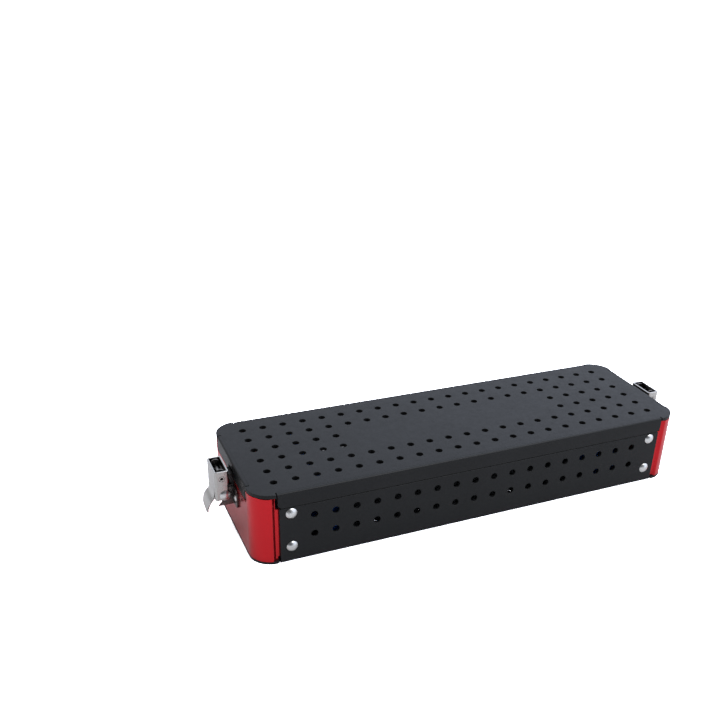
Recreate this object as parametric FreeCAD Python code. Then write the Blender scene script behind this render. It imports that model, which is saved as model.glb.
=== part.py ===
import FreeCAD, Part
import math
import os

# Perforated aluminium sterilization container: a channel-shaped base with two
# end pieces riveted in, a flanged lid that lifts off, and a sprung press latch
# at each end. Millimetres, +Z up, X along the length. The origin is on the
# surface that the container stands on, under the middle of the base.

V = FreeCAD.Vector
AXIS_X = V(1, 0, 0)
AXIS_Y = V(0, 1, 0)
AXIS_Z = V(0, 0, 1)

# Whole container
body_length = 270.0
body_width = 85.0
body_height = 43.0
corner_radius = 12.6

# Sheet metal
lid_sheet = 2.0
lid_fold_radius = 1.0
lid_fold_inner = 0.3
panel_sheet = 1.5
floor_bend_radius = 3.5
end_sheet = 1.5

# Perforation
pitch = 12.0
hole_diameter = 4.0
lid_end_margin = 12.0
lid_side_margin = 10.0
lid_blank_length = 132.0
side_hole_margin = 8.0
side_row_height = 14.6
floor_hole_spacing_x = 30.0
floor_hole_spacing_y = 24.0
floor_end_margin = 40.0
floor_side_margin = 16.0

# Lid flanges
flange_height = 9.0
side_flange_length = 243.6
side_flange_corner = 1.8
end_tab_width = 57.0
end_tab_corner = 3.0
relief_width = 1.0

# Seat of the lid on the set-back rim
lid_gap = 0.3
rim_clearance = 0.2
tongue_clearance = 0.2
step_radius = 0.6

# Side joint between the panels and the end pieces
panel_gap = 0.3
corner_flat = 0.4
notch_width = 1.0
joggle_inset = 10.0
joggle_run = 1.8
joggle_round = 0.8
end_flange_length = 12.0
rim_inset = 27.0
rivet_inset = 20.4
rivet_low_height = 9.6
rivet_drop = 3.5
rivet_fit = 0.05
rivet_shank = 3.2
rivet_head = 6.2
rivet_head_height = 1.6
rivet_tail = 5.0
rivet_tail_height = 0.8

# Latch lever, measured outwards from the end face and down from the lid's top
latch_sheet = 1.0
lever_width = 17.6
lever_inner_face = 3.2
lever_outer_face = 11.0
lever_top_drop = 1.1
lever_bottom_drop = 18.8
lever_corner_radius = 1.2
strap_bottom_drop = 9.5
leaf_start_drop = 14.5
leaf_tip_drop = 30.0
leaf_neck = 10.4
leaf_slit = 1.0
leaf_width = 12.4
leaf_wide_drop = 22.5
leaf_tip_radius = 1.3
leaf_bend_radius = 7.0
leaf_bend_deg = 42.0
leaf_curl_deg = 24.0

# Latch pin
pivot_out = 5.8
pivot_drop = 16.0
pivot_diameter = 3.0
pivot_fit = 0.05
pivot_shoulder = 4.4
pivot_recess = 0.4
pivot_dish = 2.4
pivot_dish_depth = 0.5

# Hook inside the lever, with the nose that holds the lid's end tab
hook_gap = 0.1
hook_width = 5.4
hook_span = 12.4
hook_top_drop = 1.0
hook_bend_radius = 1.2
hook_bottom_drop = 9.5
hook_plate_drop = 4.2
hook_pin_out = 7.1
hook_pin_drop = 5.5
hook_pin_diameter = 3.0
hook_pin_bore = 1.6
nose_drop = 7.2
nose_width = 8.0
nose_reach = 1.5
nose_slot_below = 0.3
nose_slot_above = 1.7
nose_slot_side = 0.5
nose_window_gap = 0.3

# Latch bracket
bracket_sheet = 1.0
bracket_width = 28.0
bracket_top_drop = 12.0
bracket_bottom_drop = 22.8
bracket_corner = 2.0
ear_gap = 0.2
ear_radius = 4.0
ear_low_deg = 75.0
ear_foot = 9.5
latch_rivet_spacing = 23.6
latch_rivet_drop = 17.0
latch_rivet_shank = 2.4
latch_rivet_head = 3.8
latch_rivet_head_height = 0.9
latch_rivet_tail_height = 0.6

# Torsion spring on the latch pin
spring_wire = 0.8
spring_leg = 0.7
spring_bore = 3.4
spring_length = 11.8
spring_leg_up = 4.0
spring_leg_down = 4.6
spring_leg_gap = 0.05

# Silicone scope holders
holder_column = 3
holder_thickness = 7.0
holder_side_gap = 0.4
holder_top_gap = 9.0
holder_corner = 4.0
holder_notch = 18.0
holder_notch_depth = 17.0
holder_small_notch = 9.0
holder_small_depth = 15.0
holder_mouth_round = 2.0
peg_diameter = 3.4
peg_short = 0.2

# Derived places
half_length = body_length / 2
half_width = body_width / 2
lid_underside = body_height - lid_sheet
lid_fold_depth = lid_sheet + lid_fold_inner
flange_bottom = body_height - flange_height
step_height = flange_bottom - lid_gap
rim_top = lid_underside - lid_gap
rim_set_back = lid_sheet + rim_clearance
rim_inner_y = half_width - rim_set_back - panel_sheet
rim_end = half_length - rim_inset
arc_start_x = half_length - corner_radius
side_flange_end = side_flange_length / 2
notch_end = arc_start_x - corner_flat
panel_end = notch_end - notch_width
joggle_x = half_length - joggle_inset
rivet_x = half_length - rivet_inset
rivet_heights = (rivet_low_height, step_height - rivet_drop)
lever_in_x = half_length + lever_inner_face
lever_out_x = half_length + lever_outer_face
lever_top = body_height - lever_top_drop
lever_bottom = body_height - lever_bottom_drop
half_lever = lever_width / 2
cheek_inner = half_lever - latch_sheet
pivot_x = half_length + pivot_out
pivot_z = body_height - pivot_drop
ear_outer = cheek_inner - ear_gap
ear_inner = ear_outer - bracket_sheet
hook_half = hook_span / 2
hook_top = body_height - hook_top_drop
hook_in_x = lever_in_x + latch_sheet + hook_gap
hook_pin_x = half_length + hook_pin_out
hook_pin_z = body_height - hook_pin_drop
nose_bottom = body_height - nose_drop
holder_x = holder_column * floor_hole_spacing_x
holder_side_row = floor_hole_spacing_y
bracket_top = body_height - bracket_top_drop
bracket_bottom = body_height - bracket_bottom_drop


def box(x0, x1, y0, y1, z0, z1):
    """Box between two corners."""
    return Part.makeBox(x1 - x0, y1 - y0, z1 - z0, V(x0, y0, z0))


def rod(radius, start, end):
    """Cylinder from one point to another."""
    line = end.sub(start)
    return Part.makeCylinder(radius, line.Length, start, line)


def joined(shapes):
    """One solid from overlapping or touching ones."""
    result = shapes[0]
    if len(shapes) > 1:
        result = result.multiFuse(shapes[1:])
    return result.removeSplitter()


def cut_all(shape, tools):
    """A solid with every tool cut out of it."""
    return shape.cut(Part.makeCompound(tools))


def rounded_plate(x0, x1, y0, y1, z0, z1, radius):
    """Plate lying flat, with its four upright edges rounded."""
    plate = box(x0, x1, y0, y1, z0, z1)
    return round_edges(plate, AXIS_Z, radius)


def round_edges(shape, direction, radius, keep=None):
    """Round the straight edges along a direction whose middle passes keep."""
    chosen = []
    for edge in shape.Edges:
        if len(edge.Vertexes) != 2 or not isinstance(edge.Curve, Part.Line):
            continue
        along = edge.Vertexes[1].Point.sub(edge.Vertexes[0].Point)
        along.normalize()
        if abs(abs(along.dot(direction)) - 1) > 1e-6:
            continue
        if keep is None or keep(edge.CenterOfMass):
            chosen.append(edge)
    return shape.makeFillet(radius, chosen)


def other_side(shape, normal):
    """Mirror copy across a plane through the origin."""
    return shape.mirror(V(0, 0, 0), normal)


def save(name, shapes):
    """Write one node's solids to its own file."""
    solids = []
    for shape in shapes:
        solids.extend(shape.Solids)
    result = solids[0] if len(solids) == 1 else Part.makeCompound(solids)
    result.exportStep("parts/" + name + ".step")


def centred(count, spacing):
    """Positions of an evenly spaced row that is centred on zero."""
    return [(i - (count - 1) / 2) * spacing for i in range(count)]


def drill_z(x, y, diameter, z0, z1):
    return rod(diameter / 2, V(x, y, z0), V(x, y, z1))


def lid_holes():
    """Perforation of the lid, with the middle of its two middle rows bare."""
    columns = 2 * int((half_length - lid_end_margin) / pitch) + 1
    rows = 2 * int((half_width - lid_side_margin) / pitch + 0.5)
    holes = []
    for y in centred(rows, pitch):
        for x in centred(columns, pitch):
            middle_row = abs(y) < pitch
            if middle_row and abs(x) < lid_blank_length / 2:
                continue
            holes.append(drill_z(x, y, hole_diameter, lid_underside - 1, body_height + 1))
    return holes


def bent_flange(edge, half_run, corner):
    """Bend and flange hanging from a plate edge that runs along Y.

    The plate's edge would lie at x = edge, and the flange is centred on y = 0.
    """
    outer = lid_fold_radius
    inner = lid_fold_inner
    joint = edge - lid_fold_depth
    crown = V(edge - outer, 0, body_height - outer)
    throat = V(joint, 0, lid_underside - inner)
    outline = [
        Part.LineSegment(V(edge, 0, flange_bottom), around(crown, outer, 0)),
        arc_about(crown, outer, 0, 90),
        Part.LineSegment(around(crown, outer, 90), V(joint, 0, body_height)),
        Part.LineSegment(V(joint, 0, body_height), around(throat, inner, 90)),
        arc_about(throat, inner, 90, 0),
        Part.LineSegment(around(throat, inner, 0), V(edge - lid_sheet, 0, flange_bottom)),
        Part.LineSegment(V(edge - lid_sheet, 0, flange_bottom), V(edge, 0, flange_bottom)),
    ]
    face = Part.Face(Part.Wire([curve.toShape() for curve in outline]))
    face.translate(V(0, -half_run, 0))
    flange = face.extrude(V(0, 2 * half_run, 0))

    def low_corner(point):
        at_end = abs(abs(point.y) - half_run) < 0.01
        return at_end and abs(point.z - flange_bottom) < 0.01

    return round_edges(flange, AXIS_X, corner, low_corner)


def edge_pocket(edge, half_run):
    """Room cut in the lid's plate for one bend and the relief slots beside it."""
    run = half_run + relief_width
    return box(edge - lid_fold_depth, edge + 1, -run, run, lid_underside - 1, body_height + 1)


def nose_slot():
    """Slot in an end tab that the latch's nose enters."""
    half = nose_width / 2 + nose_slot_side
    slot = box(
        half_length - lid_sheet - 1,
        half_length + 1,
        -half,
        half,
        nose_bottom - nose_slot_below,
        nose_bottom + latch_sheet + nose_slot_above,
    )
    return round_edges(slot, AXIS_X, 0.8)


def lid():
    """Perforated top plate with a flange on each side, open at the corners."""
    plate = rounded_plate(
        -half_length, half_length, -half_width, half_width,
        lid_underside, body_height, corner_radius,
    )
    end_flange = bent_flange(half_length, end_tab_width / 2, end_tab_corner).cut(nose_slot())
    side_flange = bent_flange(half_width, side_flange_end, side_flange_corner)
    side_flange.rotate(V(0, 0, 0), AXIS_Z, 90)
    end_pocket = edge_pocket(half_length, end_tab_width / 2)
    side_pocket = edge_pocket(half_width, side_flange_end)
    side_pocket.rotate(V(0, 0, 0), AXIS_Z, 90)
    pockets = [
        end_pocket, other_side(end_pocket, AXIS_X),
        side_pocket, other_side(side_pocket, AXIS_Y),
    ]
    flanges = [
        end_flange, other_side(end_flange, AXIS_X),
        side_flange, other_side(side_flange, AXIS_Y),
    ]
    whole = joined([cut_all(plate, pockets)] + flanges)
    return cut_all(whole, lid_holes())


def side_panel_section():
    """Half section of the base: floor bend, side panel and set-back rim."""
    outer = floor_bend_radius
    inner = floor_bend_radius - panel_sheet
    bend_y = half_width - outer
    rim_y = half_width - rim_set_back
    ledge = step_height - panel_sheet
    middle = math.sqrt(0.5)
    outline = [
        Part.LineSegment(V(0, 0, 0), V(0, bend_y, 0)),
        Part.Arc(
            V(0, bend_y, 0),
            V(0, bend_y + outer * middle, outer - outer * middle),
            V(0, half_width, outer),
        ),
        Part.LineSegment(V(0, half_width, outer), V(0, half_width, step_height - step_radius)),
        Part.Arc(
            V(0, half_width, step_height - step_radius),
            V(0, half_width - step_radius * (1 - middle), step_height - step_radius * (1 - middle)),
            V(0, half_width - step_radius, step_height),
        ),
        Part.LineSegment(V(0, half_width - step_radius, step_height), V(0, rim_y, step_height)),
        Part.LineSegment(V(0, rim_y, step_height), V(0, rim_y, rim_top)),
        Part.LineSegment(V(0, rim_y, rim_top), V(0, rim_inner_y, rim_top)),
        Part.LineSegment(V(0, rim_inner_y, rim_top), V(0, rim_inner_y, ledge)),
        Part.LineSegment(V(0, rim_inner_y, ledge), V(0, half_width - panel_sheet, ledge)),
        Part.LineSegment(V(0, half_width - panel_sheet, ledge), V(0, half_width - panel_sheet, outer)),
        Part.Arc(
            V(0, half_width - panel_sheet, outer),
            V(0, bend_y + inner * middle, outer - inner * middle),
            V(0, bend_y, panel_sheet),
        ),
        Part.LineSegment(V(0, bend_y, panel_sheet), V(0, 0, panel_sheet)),
        Part.LineSegment(V(0, 0, panel_sheet), V(0, 0, 0)),
    ]
    return Part.Face(Part.Wire([curve.toShape() for curve in outline]))


def side_holes():
    """Two rows of holes that go through both side panels."""
    columns = 2 * int((rivet_x - side_hole_margin) / pitch + 0.5)
    holes = []
    for z in (side_row_height, side_row_height + pitch):
        for x in centred(columns, pitch):
            holes.append(rod(hole_diameter / 2, V(x, -half_width - 1, z), V(x, half_width + 1, z)))
    return holes


def floor_holes():
    """Drain holes of the floor. Some of them take the holders' pegs."""
    columns = 2 * int((half_length - floor_end_margin) / floor_hole_spacing_x) + 1
    rows = 2 * int((half_width - floor_side_margin) / floor_hole_spacing_y) + 1
    holes = []
    for x in centred(columns, floor_hole_spacing_x):
        for y in centred(rows, floor_hole_spacing_y):
            holes.append(drill_z(x, y, hole_diameter, -1, panel_sheet + 1))
    return holes


def rivet_holes():
    """Holes through the side panels and the end pieces' flanges."""
    radius = rivet_shank / 2 + rivet_fit
    holes = []
    for x in (-rivet_x, rivet_x):
        for z in rivet_heights:
            holes.append(rod(radius, V(x, -half_width - 1, z), V(x, half_width + 1, z)))
    return holes


def base_channel():
    """Floor plate with both perforated side panels bent up from it."""
    section = side_panel_section()
    section.translate(V(-panel_end, 0, 0))
    half = section.extrude(V(2 * panel_end, 0, 0))
    floor = rounded_plate(
        -half_length, half_length, -half_width, half_width,
        0, panel_sheet, corner_radius,
    )
    bend_y = half_width - floor_bend_radius
    clear = [
        box(-notch_end, notch_end, bend_y, half_width + 1, -1, panel_sheet + 1),
        box(-notch_end, notch_end, -half_width - 1, -bend_y, -1, panel_sheet + 1),
    ]
    channel = joined([cut_all(floor, clear), half, other_side(half, AXIS_Y)])
    plain_y = half_width - panel_sheet
    ledge = step_height - panel_sheet
    rim_stops = [
        box(rim_end, panel_end + 1, -plain_y, plain_y, ledge - 0.1, rim_top + 1),
        box(-panel_end - 1, -rim_end, -plain_y, plain_y, ledge - 0.1, rim_top + 1),
    ]
    return cut_all(channel, rim_stops + side_holes() + floor_holes() + rivet_holes())


def end_wall_plan():
    """Plan of an end piece: end wall, round corners and stepped-in flanges."""
    flange_y = half_width - panel_sheet
    flange_x = panel_end - end_flange_length
    centre_y = half_width - corner_radius
    reach = math.acos((joggle_x - arc_start_x) / corner_radius)
    outer = []
    for side in (1, -1):

        def on_corner(angle):
            out = corner_radius * math.sin(angle)
            return V(arc_start_x + corner_radius * math.cos(angle), side * (centre_y + out), 0)

        foot = V(joggle_x - joggle_run, side * flange_y, 0)
        outer.append(Part.LineSegment(V(flange_x, side * flange_y, 0), foot))
        outer.append(Part.LineSegment(foot, on_corner(reach)))
        outer.append(Part.Arc(on_corner(reach), on_corner(reach / 2), on_corner(0)))
    outer.append(Part.LineSegment(V(half_length, centre_y, 0), V(half_length, -centre_y, 0)))
    outside = Part.Wire(Part.sortEdges([curve.toShape() for curve in outer])[0])
    return outside.makeOffset2D(end_sheet, 2, True, True)


def at_joggle(point):
    """True on the upright edges of an end piece's two steps."""
    beside = joggle_x - joggle_run - end_sheet < point.x < joggle_x + end_sheet
    return beside and abs(point.y) > half_width - corner_radius


def end_wall():
    """End piece on the +X end, with a set-back tongue behind the lid's tab."""
    plan = end_wall_plan()
    plan.translate(V(0, 0, panel_sheet))
    wall = plan.extrude(V(0, 0, rim_top - panel_sheet))
    wall = round_edges(wall, AXIS_Z, joggle_round, at_joggle)
    ledge_bottom = step_height - end_sheet
    tongue_half = end_tab_width / 2 + tongue_clearance
    window_half = end_tab_width / 2 + relief_width
    tongue_x = half_length - rim_set_back
    window = box(half_length - end_sheet - 1, half_length + 1, -window_half, window_half,
                 step_height, rim_top + 1)
    above_flange = box(0, side_flange_end + relief_width, -half_width - 1, half_width + 1,
                       step_height - panel_gap, rim_top + 1)
    below_flange = box(0, notch_end, -half_width - 1, half_width + 1,
                       0, floor_bend_radius + panel_gap)
    ledge = box(tongue_x - end_sheet, half_length, -tongue_half, tongue_half, ledge_bottom, step_height)
    tongue = box(tongue_x - end_sheet, tongue_x, -tongue_half, tongue_half, ledge_bottom, rim_top)
    cut_wall = cut_all(wall, [window, above_flange, below_flange])
    shaped = joined([cut_wall, ledge, tongue])
    return cut_all(shaped, rivet_holes() + latch_rivet_holes())


def latch_rivet_holes():
    """Holes for the rivets of one latch, through the wall and the bracket."""
    radius = latch_rivet_shank / 2 + rivet_fit
    z = body_height - latch_rivet_drop
    holes = []
    for y in centred(2, latch_rivet_spacing):
        holes.append(rod(radius, V(half_length - 5, y, z), V(half_length + 5, y, z)))
    return holes


def dome(diameter, height):
    """Domed head that stands on z = 0."""
    radius = ((diameter / 2) ** 2 + height ** 2) / (2 * height)
    ball = Part.makeSphere(radius, V(0, 0, height - radius))
    return ball.common(box(-radius, radius, -radius, radius, 0, height + 1))


def domed_rivet(shank, head, head_height, tail, tail_height, grip):
    """Rivet along +Z: dome above z = 0, shank through the grip and a flat tail."""
    body = rod(shank / 2, V(0, 0, 0), V(0, 0, -grip))
    closed_end = rod(tail / 2, V(0, 0, -grip), V(0, 0, -grip - tail_height))
    return joined([dome(head, head_height), body, closed_end])


def side_rivets():
    """Eight rivets that hold the side panels to the end pieces."""
    grip = panel_sheet + end_sheet
    rivets = []
    for z in rivet_heights:
        rivet = domed_rivet(rivet_shank, rivet_head, rivet_head_height, rivet_tail, rivet_tail_height, grip)
        rivet.rotate(V(0, 0, 0), AXIS_X, 90)
        rivet.translate(V(rivet_x, -half_width, z))
        pair = [rivet, other_side(rivet, AXIS_Y)]
        rivets.extend(pair)
        rivets.extend([other_side(shape, AXIS_X) for shape in pair])
    return rivets


def side_outline(curves, y0, y1):
    """Solid between two Y values from a closed outline in the XZ plane."""
    face = Part.Face(Part.Wire([curve.toShape() for curve in curves]))
    face.translate(V(0, y0, 0))
    return face.extrude(V(0, y1 - y0, 0))


def around(centre, radius, degrees):
    """Point on a circle in the XZ plane."""
    angle = math.radians(degrees)
    return V(centre.x + radius * math.cos(angle), 0, centre.z + radius * math.sin(angle))


def arc_about(centre, radius, start, end):
    middle = around(centre, radius, (start + end) / 2)
    return Part.Arc(around(centre, radius, start), middle, around(centre, radius, end))


def leaf_strip():
    """Bowed strip that the thumb leaf is cut from: bent out, then curled in."""
    half = latch_sheet / 2
    start = V(lever_out_x - half, 0, body_height - leaf_start_drop)
    bend = V(start.x + leaf_bend_radius, 0, start.z)
    turn = math.radians(leaf_bend_deg)
    knee = around(bend, leaf_bend_radius, 180 + leaf_bend_deg)
    drop = knee.z - (body_height - leaf_tip_drop)
    curl_radius = drop / (math.sin(turn) + math.sin(math.radians(leaf_curl_deg)))
    curl = V(knee.x - curl_radius * math.cos(turn), 0, knee.z - curl_radius * math.sin(turn))
    inner = curl_radius - half
    outer = curl_radius + half
    outline = [
        arc_about(bend, leaf_bend_radius - half, 180, 180 + leaf_bend_deg),
        arc_about(curl, outer, leaf_bend_deg, -leaf_curl_deg),
        Part.LineSegment(around(curl, outer, -leaf_curl_deg), around(curl, inner, -leaf_curl_deg)),
        arc_about(curl, inner, -leaf_curl_deg, leaf_bend_deg),
        arc_about(bend, leaf_bend_radius + half, 180 + leaf_bend_deg, 180),
        Part.LineSegment(around(bend, leaf_bend_radius + half, 180), around(bend, leaf_bend_radius - half, 180)),
    ]
    return side_outline(outline, -half_lever, half_lever)


def leaf_blank():
    """Front view of the thumb leaf as a solid that runs along X."""
    neck = leaf_neck / 2
    wide = leaf_width / 2
    top = body_height - leaf_start_drop
    wide_z = body_height - leaf_wide_drop
    tip_z = body_height - leaf_tip_drop
    tip_y = leaf_tip_radius * math.cos(math.radians(40))
    side_z = tip_z + leaf_tip_radius * (1 - math.sin(math.radians(40)))
    curves = [
        Part.LineSegment(V(0, -neck, top), V(0, neck, top)),
        Part.Arc(V(0, neck, top), V(0, wide, wide_z), V(0, tip_y, side_z)),
        Part.Arc(V(0, tip_y, side_z), V(0, 0, tip_z), V(0, -tip_y, side_z)),
        Part.Arc(V(0, -tip_y, side_z), V(0, -wide, wide_z), V(0, -neck, top)),
    ]
    face = Part.Face(Part.Wire([curve.toShape() for curve in curves]))
    face.translate(V(half_length, 0, 0))
    return face.extrude(V(30, 0, 0))


def latch_lever():
    """Folded lever: sleeve round the hook, open at the top, and a thumb leaf."""
    t = latch_sheet
    outer = rounded_plate(lever_in_x, lever_out_x, -half_lever, half_lever,
                          lever_bottom, lever_top, lever_corner_radius)
    hollow = rounded_plate(lever_in_x + t, lever_out_x - t, -cheek_inner, cheek_inner,
                           lever_bottom - 1, lever_top + 1, lever_corner_radius - t)
    leaf_top = body_height - leaf_start_drop
    slit_half = leaf_neck / 2 + leaf_slit
    cuts = [
        hollow,
        box(lever_in_x - 1, lever_in_x + lever_corner_radius, -half_lever - 1, half_lever + 1,
            lever_bottom - 1, body_height - strap_bottom_drop),
        box(lever_out_x - t - 1, lever_out_x + 1, -slit_half, slit_half, lever_bottom - 1, leaf_top),
        nose_window(),
    ]
    leaf = leaf_strip().common(leaf_blank())
    whole = joined([cut_all(outer, cuts), leaf])
    return cut_all(whole, [
        pin_bore(pivot_shoulder / 2 + pivot_fit, pivot_x, pivot_z),
        pin_bore(hook_pin_diameter / 2, hook_pin_x, hook_pin_z),
    ])


def nose_window():
    """Window in the lever's wall-side strap for the hook's nose."""
    half = nose_width / 2 + nose_window_gap
    return box(lever_in_x - 1, lever_in_x + latch_sheet + 0.01, -half, half,
               nose_bottom - nose_window_gap, nose_bottom + latch_sheet + nose_window_gap)


def pin_bore(radius, x, z):
    """Bore across the whole latch."""
    return rod(radius, V(x, -bracket_width, z), V(x, bracket_width, z))


def latch_hook():
    """Hook between the cheeks: cross plate, two round-topped ears and the nose."""
    t = latch_sheet
    x0 = hook_in_x
    x1 = hook_in_x + hook_width
    ear_low = body_height - hook_bottom_drop
    plate_top = body_height - hook_plate_drop
    crown = V((x0 + x1) / 2, 0, hook_top - hook_width / 2)
    outline = [
        Part.LineSegment(V(x0, 0, ear_low), V(x1, 0, ear_low)),
        Part.LineSegment(V(x1, 0, ear_low), V(x1, 0, crown.z)),
        arc_about(crown, hook_width / 2, 0, 180),
        Part.LineSegment(V(x0, 0, crown.z), V(x0, 0, ear_low)),
    ]
    ear = side_outline(outline, hook_half - t, hook_half)
    plate = box(x0, x0 + t, -hook_half, hook_half, nose_bottom, plate_top)
    room = rounded_plate(x0, x1, -hook_half, hook_half, ear_low - 1, body_height + 1, hook_bend_radius)
    folded = joined([plate, ear, other_side(ear, AXIS_Y)]).common(room)
    nose = box(half_length - nose_reach, x0 + t, -nose_width / 2, nose_width / 2,
               nose_bottom, nose_bottom + t)
    nose = round_edges(nose, AXIS_Z, 0.8, lambda p: p.x < half_length)
    hook = joined([folded, nose])
    return hook.cut(pin_bore(hook_pin_diameter / 2, hook_pin_x, hook_pin_z))


def latch_hook_pin():
    """Hollow pin that fixes the hook between the cheeks, flush at both ends."""
    start = V(hook_pin_x, -half_lever, hook_pin_z)
    end = V(hook_pin_x, half_lever, hook_pin_z)
    return rod(hook_pin_diameter / 2, start, end).cut(rod(hook_pin_bore / 2, start, end))


def latch_pivot_pin():
    """Pin through the ears, with a dished shoulder that each cheek turns on."""
    end = half_lever - pivot_recess
    shank = rod(pivot_diameter / 2, V(pivot_x, -ear_outer, pivot_z), V(pivot_x, ear_outer, pivot_z))
    shoulder = rod(pivot_shoulder / 2, V(pivot_x, ear_outer, pivot_z), V(pivot_x, end, pivot_z))
    dish = rod(pivot_dish / 2, V(pivot_x, end - pivot_dish_depth, pivot_z), V(pivot_x, end + 1, pivot_z))
    shoulder = shoulder.cut(dish)
    return joined([shank, shoulder, other_side(shoulder, AXIS_Y)])


def latch_bracket():
    """Bracket on the end wall, with an ear bent out inside each cheek of the lever."""
    t = bracket_sheet
    plate = box(half_length, half_length + t, -bracket_width / 2, bracket_width / 2,
                bracket_bottom, bracket_top)
    plate = round_edges(plate, AXIS_X, bracket_corner)
    pivot = V(pivot_x, 0, pivot_z)
    foot = V(half_length + ear_foot, 0, bracket_bottom)
    outline = [
        Part.LineSegment(V(half_length, 0, bracket_bottom), foot),
        Part.LineSegment(foot, around(pivot, ear_radius, -ear_low_deg)),
        arc_about(pivot, ear_radius, -ear_low_deg, 90),
        Part.LineSegment(around(pivot, ear_radius, 90), V(half_length, 0, bracket_top)),
        Part.LineSegment(V(half_length, 0, bracket_top), V(half_length, 0, bracket_bottom)),
    ]
    ear = side_outline(outline, ear_inner, ear_outer)
    bracket = joined([plate, ear, other_side(ear, AXIS_Y)])
    holes = latch_rivet_holes() + [pin_bore(pivot_diameter / 2, pivot_x, pivot_z)]
    return cut_all(bracket, holes)


def latch_rivets():
    """Two rivets that hold one latch bracket to the end wall."""
    rivets = []
    for y in centred(2, latch_rivet_spacing):
        rivet = domed_rivet(latch_rivet_shank, latch_rivet_head, latch_rivet_head_height,
                            latch_rivet_head, latch_rivet_tail_height, bracket_sheet + end_sheet)
        rivet.rotate(V(0, 0, 0), AXIS_Y, 90)
        rivet.translate(V(half_length + bracket_sheet, y, body_height - latch_rivet_drop))
        rivets.append(rivet)
    return rivets


def latch_spring():
    """Torsion spring on the pin: a closed coil and two straight legs."""
    half = spring_length / 2
    wire = spring_leg / 2
    coil_radius = (spring_bore + spring_wire) / 2
    coil = rod(spring_bore / 2 + spring_wire, V(pivot_x, -half, pivot_z), V(pivot_x, half, pivot_z))
    bore = pin_bore(spring_bore / 2, pivot_x, pivot_z)
    leg_y = half - spring_wire / 2 - 0.1
    up_x = lever_out_x - latch_sheet - wire - spring_leg_gap
    down_x = half_length + bracket_sheet + wire + spring_leg_gap
    leg_up = rod(wire, V(pivot_x + coil_radius, leg_y, pivot_z), V(up_x, leg_y, pivot_z + spring_leg_up))
    leg_down = rod(wire, V(pivot_x - coil_radius, -leg_y, pivot_z), V(down_x, -leg_y, pivot_z - spring_leg_down))
    return joined([coil, leg_up, leg_down]).cut(bore)


def scope_holder():
    """Silicone rest across the base, with a wide and two narrow U-notches."""
    half = rim_inner_y - holder_side_gap
    bottom = panel_sheet
    top = body_height - holder_top_gap
    x0 = holder_x - holder_thickness / 2
    x1 = holder_x + holder_thickness / 2
    block = box(x0, x1, -half, half, bottom, top)
    block = round_edges(block, AXIS_X, holder_corner)
    cuts = []
    notches = [
        (0, holder_notch, holder_notch_depth),
        (holder_side_row, holder_small_notch, holder_small_depth),
        (-holder_side_row, holder_small_notch, holder_small_depth),
    ]
    for y, width, depth in notches:
        low = top - depth
        cuts.append(box(x0 - 1, x1 + 1, y - width / 2, y + width / 2, low + width / 2, top + 1))
        cuts.append(rod(width / 2, V(x0 - 1, y, low + width / 2), V(x1 + 1, y, low + width / 2)))
    block = cut_all(block, cuts)

    def mouth_edge(point):
        near_notch = abs(point.y) < holder_side_row + holder_small_notch
        return abs(point.z - top) < 0.01 and near_notch

    block = round_edges(block, AXIS_X, holder_mouth_round, mouth_edge)
    pegs = []
    for y in (-holder_side_row, holder_side_row):
        pegs.append(drill_z(holder_x, y, peg_diameter, peg_short, bottom + 1))
    return joined([block] + pegs)


def main():
    os.makedirs("parts", exist_ok=True)
    save("lid", [lid()])
    save("base_channel", [base_channel()])
    save("side_rivets", side_rivets())
    at_each_end = {
        "end_wall": [end_wall()],
        "latch_bracket": [latch_bracket()],
        "latch_rivets": latch_rivets(),
        "latch_pivot_pin": [latch_pivot_pin()],
        "latch_spring": [latch_spring()],
        "latch_lever": [latch_lever()],
        "latch_hook": [latch_hook()],
        "latch_hook_pin": [latch_hook_pin()],
        "scope_holder": [scope_holder()],
    }
    for name, shapes in at_each_end.items():
        save(name + "_right", shapes)
        save(name + "_left", [other_side(shape, AXIS_X) for shape in shapes])


main()
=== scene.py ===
import math

import bmesh
import bpy
from bpy.props import FloatProperty, FloatVectorProperty, IntProperty, PointerProperty
from mathutils import Matrix, Vector
from mathutils.geometry import tessellate_polygon


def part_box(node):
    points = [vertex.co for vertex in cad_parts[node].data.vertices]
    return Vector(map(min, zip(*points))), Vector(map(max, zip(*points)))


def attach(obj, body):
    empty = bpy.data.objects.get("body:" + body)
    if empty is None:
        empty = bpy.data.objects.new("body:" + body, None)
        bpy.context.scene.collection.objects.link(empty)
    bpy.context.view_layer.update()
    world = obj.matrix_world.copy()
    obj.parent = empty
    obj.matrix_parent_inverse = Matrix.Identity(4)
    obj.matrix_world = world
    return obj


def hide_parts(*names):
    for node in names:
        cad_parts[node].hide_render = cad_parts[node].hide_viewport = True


bl_info = {
    "name": "Sterilization Container",
    "version": (1, 0, 0),
    "blender": (4, 5, 0),
    "location": "3D View > Sidebar > Container",
    "description": "Builds a perforated sterilization container with press latches",
    "category": "Object",
}

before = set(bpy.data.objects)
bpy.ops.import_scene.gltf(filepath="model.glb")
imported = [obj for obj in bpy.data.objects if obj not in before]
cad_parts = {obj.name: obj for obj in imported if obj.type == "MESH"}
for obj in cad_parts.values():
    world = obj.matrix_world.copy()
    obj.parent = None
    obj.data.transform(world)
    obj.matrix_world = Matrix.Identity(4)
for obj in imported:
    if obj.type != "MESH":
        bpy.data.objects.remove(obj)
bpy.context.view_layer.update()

LID_LOW, LID_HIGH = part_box("lid")
BASE_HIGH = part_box("base_channel")[1]
RIVET_LOW, RIVET_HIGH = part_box("side_rivets")
SIDES = {"left": -1, "right": 1}

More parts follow.
